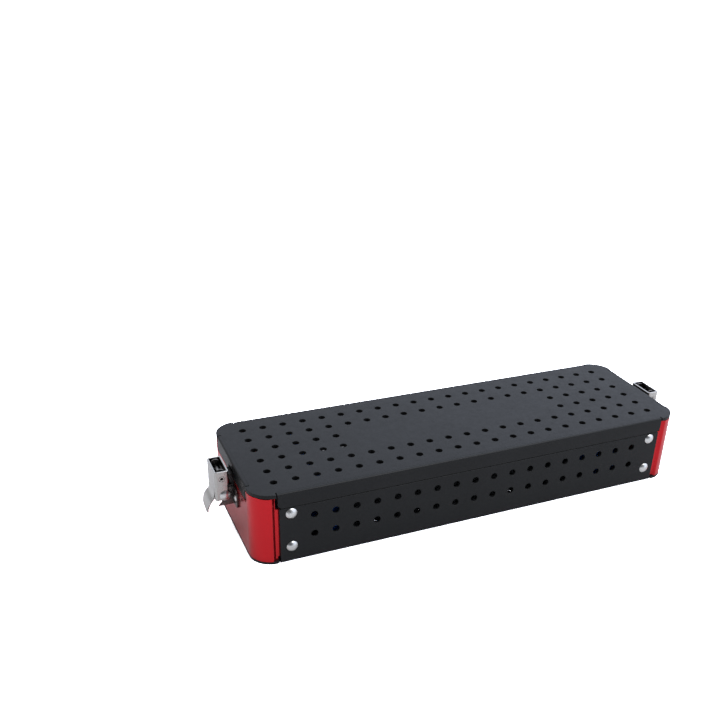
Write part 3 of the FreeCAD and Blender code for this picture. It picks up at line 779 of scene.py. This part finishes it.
class CONTAINER_OT_lid(bpy.types.Operator):
    """Punched lid with a bent flange on each side"""

    bl_idname = "container.lid"
    bl_label = "Lid"

    def execute(self, context):
        s = sizes()
        length_half, width_half, top = LID_HIGH.x, LID_HIGH.y, LID_HIGH.z
        fold_depth = s.lid_sheet + s.fold_inner
        bend_x, bend_y = length_half - fold_depth, width_half - fold_depth
        end = s.end_run + s.relief
        side = s.side_run + s.relief
        centre_x, centre_y = length_half - s.corner, width_half - s.corner
        stop = math.degrees(math.acos((side - centre_x) / s.corner))
        corner = [(bend_x, s.end_run), (bend_x, end), (length_half, end)]
        corner += arc(centre_x, centre_y, s.corner, 0, stop, 18)
        corner += [(side, bend_y), (s.side_run, bend_y)]
        columns, rows = 21, 6
        block = punched_block(columns, rows, s.pitch, s.pitch, s.lid_sheet, black_finish(),
                              (5.5 * s.pitch, s.pitch))
        bmesh.ops.translate(block, verts=block.verts, vec=(0, 0, top))
        count = len(corner)
        sheet = plate(four_corners(corner), window_of(columns, rows, s.pitch, s.pitch), top, s.lid_sheet,
                      [count * k - 1 for k in (1, 2, 3, 4)])
        shells = [block, sheet]
        for angle in (0, 180):
            shells.append(turned(lid_flange(width_half, s.side_run, s.side_corner), angle))
        for angle in (90, -90):
            shells.append(turned(lid_flange(length_half, s.end_run, s.end_corner, slot=True), angle))
        made = link("lid_shell", as_mesh(one_shell(shells), "lid_shell"))
        soften(made, s.sheet_edge)
        show(made, "lid", black_finish(), "black_anodised", "lid")
        return {"FINISHED"}


class CONTAINER_OT_base(bpy.types.Operator):
    """Base channel with punched side panels, set-back rims and floor"""

    bl_idname = "container.base"
    bl_label = "Base Channel"

    def execute(self, context):
        s = sizes()
        t = s.panel_sheet
        half_x, half_y = BASE_HIGH.x, BASE_HIGH.y
        bend = half_y - t - s.fold_inner
        centre_x, centre_y = half_x - s.corner, half_y - s.corner
        corner = arc(centre_x, centre_y, s.corner, 0, 90, 18)
        corner += [(s.notch_run, half_y), (s.notch_run, bend), (s.panel_run, bend)]
        outline = four_corners(corner)
        count = len(corner)
        columns, rows = 7, 3
        floor_holes = punched_block(columns, rows, s.floor_pitch_x, s.floor_pitch_y, t, black_finish())
        bmesh.ops.translate(floor_holes, verts=floor_holes.verts, vec=(0, 0, t))
        window = window_of(columns, rows, s.floor_pitch_x, s.floor_pitch_y)
        shells = [floor_holes, plate(outline, window, t, t, [count - 1, 3 * count - 1])]
        for front in (True, False):
            shells += self.side(front, half_y, bend)
        made = link("base_shell", as_mesh(one_shell(shells), "base_shell"))
        soften(made, s.sheet_edge)
        show(made, "base", black_finish(), "black_anodised", "base_channel")
        return {"FINISHED"}

    def side(self, front, half_y, bend):
        """One side panel with its floor bend, holes, ledge and rim."""
        s = sizes()
        t = s.panel_sheet
        columns, rows = 18, 2
        joint_low = t + s.fold_inner
        joint_top = s.step - s.step_round
        middle = s.low_row + s.pitch / 2
        holes = punched_block(columns, rows, s.pitch, s.pitch, t, black_finish())
        bmesh.ops.translate(holes, verts=holes.verts, vec=(0, middle, half_y))
        window = [(x, y + middle) for x, y in window_of(columns, rows, s.pitch, s.pitch)]
        outline = [(s.panel_run, joint_low), (s.panel_run, joint_top), (s.rim_run, joint_top)]
        outline += [(-s.rim_run, joint_top), (-s.panel_run, joint_top), (-s.panel_run, joint_low)]
        panel = plate(outline, window, half_y, t, [1, 2, 3, 5])
        fold = [(bend, 0.0)] + arc(half_y - s.floor_fold, s.floor_fold, s.floor_fold, -90, 0, 6)
        fold += [(half_y, joint_low)] + arc(bend, joint_low, s.fold_inner, 0, -90, 4)
        rim_out = half_y - s.rim_back
        ledge = s.step - t
        lip = arc(half_y - s.step_round, joint_top, s.step_round, 0, 90, 4)
        rim = lip + [(rim_out, s.step), (rim_out, BASE_HIGH.z), (rim_out - t, BASE_HIGH.z)]
        rim += [(rim_out - t, ledge), (half_y - t, ledge), (half_y - t, joint_top)]
        plain = lip + [(half_y - t, s.step), (half_y - t, joint_top)]
        turn = 180 if front else 0
        made = [upright(holes, front), upright(panel, front)]
        made.append(turned(run_profile(fold, -s.panel_run, s.panel_run, (8, len(fold) - 1)), turn))
        made.append(turned(run_profile(rim, -s.rim_run, s.rim_run, (len(rim) - 1, len(rim) - 2)), turn))
        for start, end in ((-s.panel_run, -s.rim_run), (s.rim_run, s.panel_run)):
            made.append(turned(run_profile(plain, start, end, (len(plain) - 1,)), turn))
        return made


class CONTAINER_OT_end_walls(bpy.types.Operator):
    """Red end pieces with round corners and stepped-in flanges"""

    bl_idname = "container.end_walls"
    bl_label = "End Pieces"

    def execute(self, context):
        for side in SIDES:
            made = softened_node("end_wall_" + side, "end_piece_" + side, sizes().sheet_edge)
            show(made, "base", red_finish(), "red_anodised", "end_wall_" + side)
        return {"FINISHED"}


class CONTAINER_OT_rivets(bpy.types.Operator):
    """Side rivets and latch rivets"""

    bl_idname = "container.rivets"
    bl_label = "Rivets"

    def execute(self, context):
        s, p = sizes(), pieces()
        x = RIVET_HIGH.x - p.side_head / 2
        heights = (RIVET_LOW.z + p.side_head / 2, RIVET_HIGH.z - p.side_head / 2)
        places = [((sx * x, sy * BASE_HIGH.y, z), (0, sy, 0))
                  for sx in (-1, 1) for sy in (-1, 1) for z in heights]
        grip = 2 * s.panel_sheet
        rivet = rivet_shell(p.side_shank, p.side_head, p.side_dome, grip, p.side_tail, p.side_tail_dome)
        made = rivet_piece("side_rivet_set", rivet, places, bright_finish())
        show(made, "base", bright_finish(), "rivet_metal", "side_rivets")
        for side, sign in SIDES.items():
            low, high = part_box("latch_rivets_" + side)
            outer = max(abs(low.x), abs(high.x)) - p.latch_dome
            grip = high.x - low.x - p.latch_dome - p.latch_tail_dome
            z = (low.z + high.z) / 2
            places = [((sign * outer, sy * (high.y - p.latch_head / 2), z), (sign, 0, 0)) for sy in (-1, 1)]
            rivet = rivet_shell(p.latch_shank, p.latch_head, p.latch_dome, grip, p.latch_head,
                                p.latch_tail_dome)
            made = rivet_piece("latch_rivet_set_" + side, rivet, places, bright_finish())
            show(made, "base", bright_finish(), "rivet_metal", "latch_rivets_" + side)
        return {"FINISHED"}


class CONTAINER_OT_latches(bpy.types.Operator):
    """Brackets, levers, hooks and pins of both latches"""

    bl_idname = "container.latches"
    bl_label = "Latches"

    def execute(self, context):
        s, p = sizes(), pieces()
        for side in SIDES:
            body = "latch_" + side
            # The brackets and hooks take the darkened steel, which paints their shade.
            parts = (
                ("bracket", "base", shade_darkened_finish(), "stainless", s.fine_edge),
                ("lever", body, steel_finish(), "stainless", s.lever_edge),
                ("hook", body, shade_darkened_finish(), "stainless", s.fine_edge),
                ("hook_pin", body, steel_finish(), "rivet_metal", s.fine_edge),
            )
            for part, owner, material, slot, edge in parts:
                node = "latch_%s_%s" % (part, side)
                made = softened_node(node, "latch_%s_piece_%s" % (part, side), edge)
                show(made, owner, material, slot, node)
            node = "latch_pivot_pin_" + side
            low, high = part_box(node)
            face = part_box("latch_lever_" + side)[1].y + HEAD_GAP
            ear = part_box("latch_hook_" + side)[1].y + EAR_REACH
            half = [(radius, up + face) for radius, up in dome_points(p.pivot_head, p.pivot_dome)]
            half += [(p.pivot_shoulder / 2, face), (p.pivot_shoulder / 2, ear), (p.pivot_shank / 2, ear)]
            shell = lathe(half + [(radius, -up) for radius, up in reversed(half)])
            place = Matrix.Translation((low + high) / 2) @ Matrix.Rotation(math.radians(90), 4, "X")
            bmesh.ops.transform(shell, matrix=place, verts=shell.verts)
            made = link("latch_pivot_" + side, as_mesh(shell, "latch_pivot"))
            made.data.shade_smooth()
            made.data.set_sharp_from_angle(angle=math.radians(ROUND_BREAK))
            show(made, "base", bright_finish(), "rivet_metal", node)
        return {"FINISHED"}


class CONTAINER_OT_springs(bpy.types.Operator):
    """Wound torsion springs on the pivot pins"""

    bl_idname = "container.springs"
    bl_label = "Springs"

    def execute(self, context):
        p = pieces()
        for side, sign in SIDES.items():
            node = "latch_spring_" + side
            low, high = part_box(node)
            pin_low, pin_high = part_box("latch_pivot_pin_" + side)
            pin = (pin_low + pin_high) / 2
            radius = p.coil / 2
            span = high.y - low.y - p.wire - COIL_GAP
            outer = max(abs(low.x), abs(high.x)) - abs(pin.x) - p.wire / 2
            inner = abs(pin.x) - min(abs(low.x), abs(high.x)) - p.wire / 2
            made = link("torsion_spring_" + side, bpy.data.meshes.new("torsion_spring"))
            run_tree(made, spring_tree(), {
                "Turns": p.turns + 0.5, "Coil Radius": radius, "Coil Length": span, "Wire Radius": p.wire / 2,
                "Low Leg End": (-inner, pin.z - low.z - p.wire, 0.0),
                "High Leg End": (outer, pin.z - high.z + p.wire, span),
                "Finish": spring_finish(),
            })
            place = Matrix(((sign, 0, 0, 0), (0, 0, sign, 0), (0, -1, 0, 0), (0, 0, 0, 1)))
            start = Matrix.Translation((pin.x, -sign * span / 2, pin.z))
            made.data.transform(start @ place)
            made.data.shade_smooth()
            show(made, "base", spring_finish(), "spring_steel", node)
        return {"FINISHED"}


class CONTAINER_OT_holders(bpy.types.Operator):
    """Blue silicone rests for the scope"""

    bl_idname = "container.holders"
    bl_label = "Scope Holders"

    def execute(self, context):
        for side in SIDES:
            node = "scope_holder_" + side
            made = softened_node(node, "silicone_rest_" + side, sizes().soft_edge, 3)
            show(made, "base", silicone_finish(), "silicone", node)
        return {"FINISHED"}


class CONTAINER_OT_stage(bpy.types.Operator):
    """Pale floor, soft studio light and the camera"""

    bl_idname = "container.stage"
    bl_label = "Stage"

    def execute(self, context):
        self.floor()
        self.sky(context.scene)
        for name, place, size, power in SOFTBOXES:
            data = bpy.data.lights.new(name, "AREA")
            data.shape = "SQUARE"
            data.size = size
            data.energy = power
            lamp = bpy.data.objects.new(name, data)
            lamp.location = place
            lamp.rotation_euler = (-Vector(place)).to_track_quat("-Z", "Y").to_euler()
            context.scene.collection.objects.link(lamp)
        self.camera(context.scene)
        context.scene.view_settings.view_transform = "Standard"
        return {"FINISHED"}

    def floor(self):
        """Matt floor that the camera sees lifted to white, with a painted shade patch behind the container.
        """
        shell = bmesh.new()
        bmesh.ops.create_grid(shell, x_segments=1, y_segments=1, size=6.0)
        floor = link("studio_floor", as_mesh(shell, "studio_floor"))
        paint = bpy.data.materials.new("studio_floor")
        paint.use_nodes = True
        tree = paint.node_tree
        tree.nodes.remove(tree.nodes["Principled BSDF"])
        # Painted shade: the lift falls off in a soft patch behind the container.
        behind = add(tree, "ShaderNodeMapping", {
            "Location": SHADE_PLACE, "Scale": SHADE_SCALE,
            "Vector": add(tree, "ShaderNodeTexCoord").outputs["Object"],
        })
        far = add(tree, "ShaderNodeVectorMath", {0: behind.outputs["Vector"]}, operation="LENGTH")
        lift = remap(tree, far.outputs["Value"], SHADE_RUN, (FLOOR_SHADE, FLOOR_LIFT),
                     interpolation_type="SMOOTHSTEP")
        pale = add(tree, "ShaderNodeVectorMath", {0: colours().floor, "Scale": lift}, operation="SCALE")
        ray = add(tree, "ShaderNodeLightPath").outputs["Is Camera Ray"]
        tone = blend(tree, ray, (*colours().floor_bounce, 1.0), pale.outputs[0])
        matt = add(tree, "ShaderNodeBsdfDiffuse", {"Color": tone})
        tree.links.new(matt.outputs["BSDF"], tree.nodes["Material Output"].inputs["Surface"])
        floor.data.materials.append(paint)

    def sky(self, scene):
        """Soft light all round, brighter and cooler to the right, dark behind the camera."""
        world = bpy.data.worlds.new("studio")
        world.use_nodes = True
        tree = world.node_tree
        place = add(tree, "ShaderNodeTexCoord").outputs["Generated"]
        across, behind = [
            add(tree, "ShaderNodeVectorMath", {0: place, 1: way}, operation="DOT_PRODUCT").outputs["Value"]
            for way in ((1.0, 0.0, 0.0), DARK_WAY)
        ]
        level = remap(tree, across, SKY_RUN, SKY_LEVELS)
        dark = remap(tree, behind, DARK_RUN, DARK_LEVELS)
        shaded = add(tree, "ShaderNodeMath", {0: level, 1: dark}, operation="MULTIPLY").outputs[0]
        lit = add(tree, "ShaderNodeVectorMath", {0: blend(tree, level, SKY_WARM, SKY_COOL), "Scale": shaded},
                  operation="SCALE")
        ray = add(tree, "ShaderNodeLightPath").outputs["Is Camera Ray"]
        seen = blend(tree, ray, lit.outputs[0], (1.0, 1.0, 1.0, 1.0))
        tree.links.new(seen, tree.nodes["Background"].inputs["Color"])
        scene.world = world

    def camera(self, scene):
        """Camera set from its right and view vectors."""
        data = bpy.data.cameras.new("studio_camera")
        data.lens = CAMERA_LENS
        data.shift_x, data.shift_y = CAMERA_SHIFT
        data.clip_start = 0.01
        data.clip_end = 20.0
        camera = bpy.data.objects.new("studio_camera", data)
        right, view = Vector(CAMERA_RIGHT), Vector(CAMERA_VIEW)
        turn = Matrix((right, right.cross(view), -view)).transposed().to_4x4()
        camera.matrix_world = Matrix.Translation(CAMERA_PLACE) @ turn
        scene.collection.objects.link(camera)
        scene.camera = camera


class CONTAINER_PT_panel(bpy.types.Panel):
    """Lists the container's pieces in the sidebar"""

    bl_idname = "CONTAINER_PT_panel"
    bl_label = "Sterilization Container"
    bl_space_type = "VIEW_3D"
    bl_region_type = "UI"
    bl_category = "Container"

    def draw(self, context):
        for operator in OPERATORS:
            self.layout.operator(operator.bl_idname)
        for group in (sizes(), pieces(), colours()):
            column = self.layout.column(align=True)
            for name in group.__annotations__:
                column.prop(group, name)


OPERATORS = (
    CONTAINER_OT_lid,
    CONTAINER_OT_base,
    CONTAINER_OT_end_walls,
    CONTAINER_OT_rivets,
    CONTAINER_OT_latches,
    CONTAINER_OT_springs,
    CONTAINER_OT_holders,
    CONTAINER_OT_stage,
)
GROUPS = {
    "container_sizes": ContainerSizes,
    "container_pieces": ContainerPieces,
    "container_colours": ContainerColours,
}


def register():
    for name, group in GROUPS.items():
        bpy.utils.register_class(group)
        setattr(bpy.types.Scene, name, PointerProperty(type=group))
    for kind in OPERATORS + (CONTAINER_PT_panel,):
        bpy.utils.register_class(kind)


def unregister():
    for kind in reversed(OPERATORS + (CONTAINER_PT_panel,)):
        bpy.utils.unregister_class(kind)
    for name, group in GROUPS.items():
        delattr(bpy.types.Scene, name)
        bpy.utils.unregister_class(group)


def main():
    register()
    bpy.ops.container.lid()
    bpy.ops.container.base()
    bpy.ops.container.end_walls()
    bpy.ops.container.rivets()
    bpy.ops.container.latches()
    bpy.ops.container.springs()
    bpy.ops.container.holders()
    bpy.ops.container.stage()


if __name__ == "__main__":
    main()
